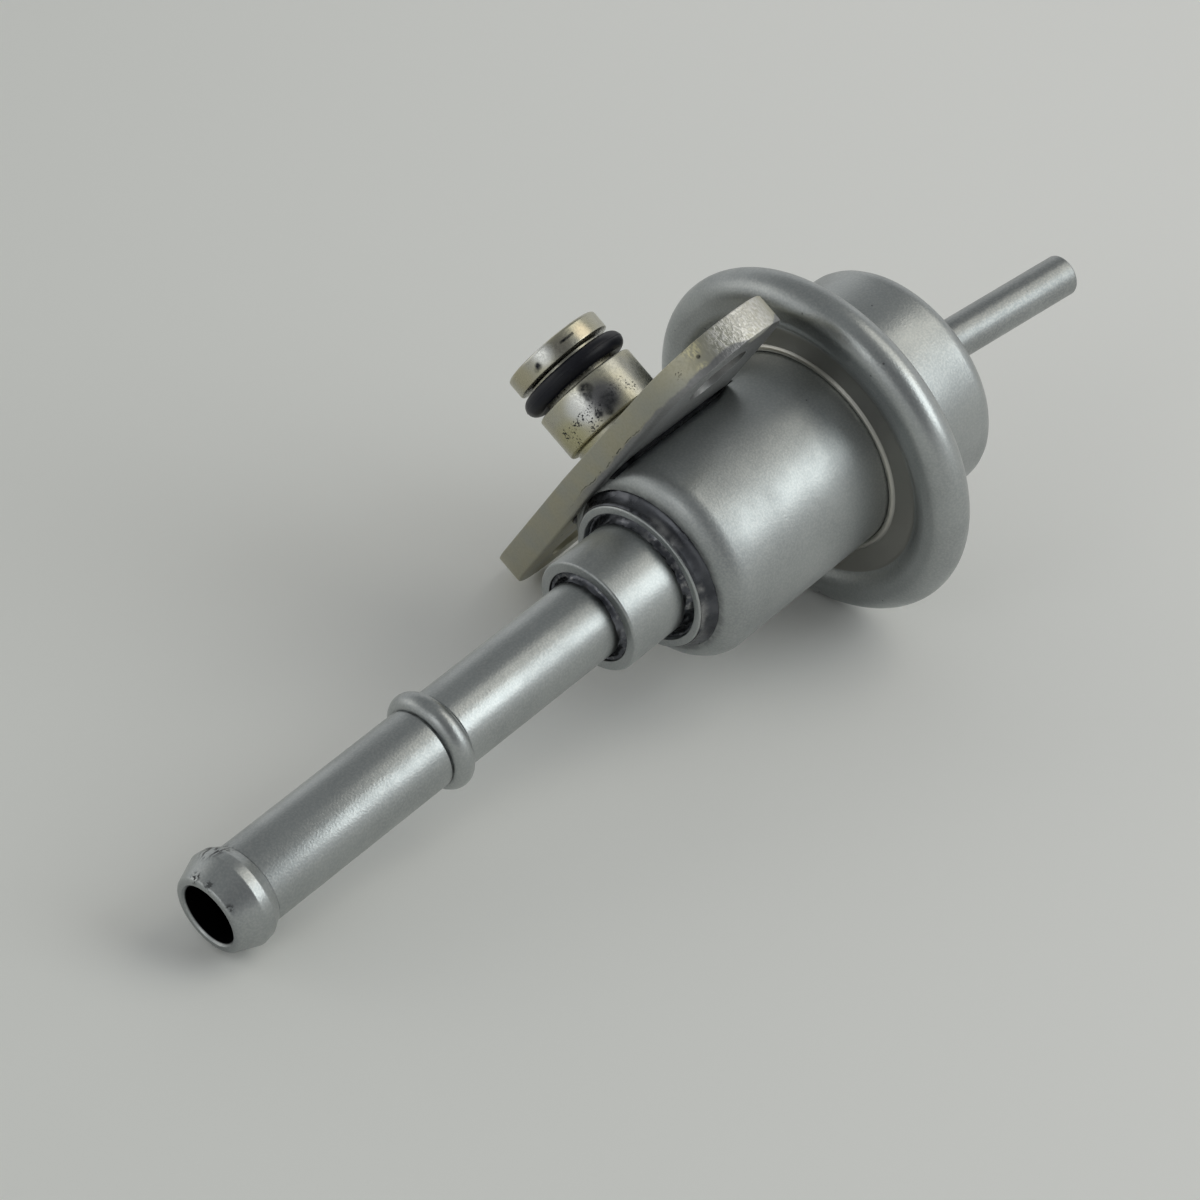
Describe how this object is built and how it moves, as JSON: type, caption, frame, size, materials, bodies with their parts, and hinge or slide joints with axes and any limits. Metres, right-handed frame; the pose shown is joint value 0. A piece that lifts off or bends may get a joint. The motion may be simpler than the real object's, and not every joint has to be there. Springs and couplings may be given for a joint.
{
  "type": "fuel pressure regulator",
  "caption": "Fuel pressure regulator: crimped diaphragm housing with a bolt-on flange and sealed inlet spigot, a barbed return pipe with a hose bead and a thin vacuum nipple.",
  "frame": {"origin": "on the inlet's axis, in the flange's mounting face, midway between the bolt holes", "axes": "+Z out of the inlet spigot, +X along the body from the return pipe to the vacuum nipple, +Y along the row of bolt holes"},
  "size_m": [0.1162, 0.051, 0.0408],
  "materials": {
    "zinc_steel": "satin zinc plating",
    "olive_zinc": "yellowish zinc plating, stained",
    "dark_braze": "dark braze filler",
    "black_rubber": "smooth black rubber",
    "fabric_rubber": "fabric-backed rubber",
    "hard_steel": "ground and polished",
    "turned_brass": "turned",
    "spring_wire": "drawn wire"
  },
  "bodies": {
    "regulator": {"fuel_chamber_cup": "zinc_steel", "spring_housing": "zinc_steel", "return_tube": "zinc_steel", "return_sleeve": "zinc_steel", "valve_seat": "hard_steel", "flange_plate": "olive_zinc", "inlet_spigot": "olive_zinc", "inlet_o_ring": "black_rubber", "vacuum_nipple": "zinc_steel", "diaphragm": "fabric_rubber", "main_spring": "spring_wire", "neck_collar": "zinc_steel", "tube_braze": "dark_braze", "neck_braze": "dark_braze", "collar_braze": "dark_braze", "plate_braze": "dark_braze", "spigot_braze": "dark_braze", "nipple_braze": "dark_braze"},
    "valve": {"valve_holder": "turned_brass", "valve_ball": "hard_steel", "ball_spring": "spring_wire", "ball_retainer": "turned_brass", "spring_seat": "zinc_steel"}
  },
  "joints": [
    {"name": "valve_lift", "type": "slide", "parent": "regulator", "child": "valve", "axis": [1, 0, 0], "range_m": [0, 0.0008], "stiffness_N_per_m": 200, "springref_m": -0.001, "deforming": ["main_spring", "diaphragm"]}
  ]
}
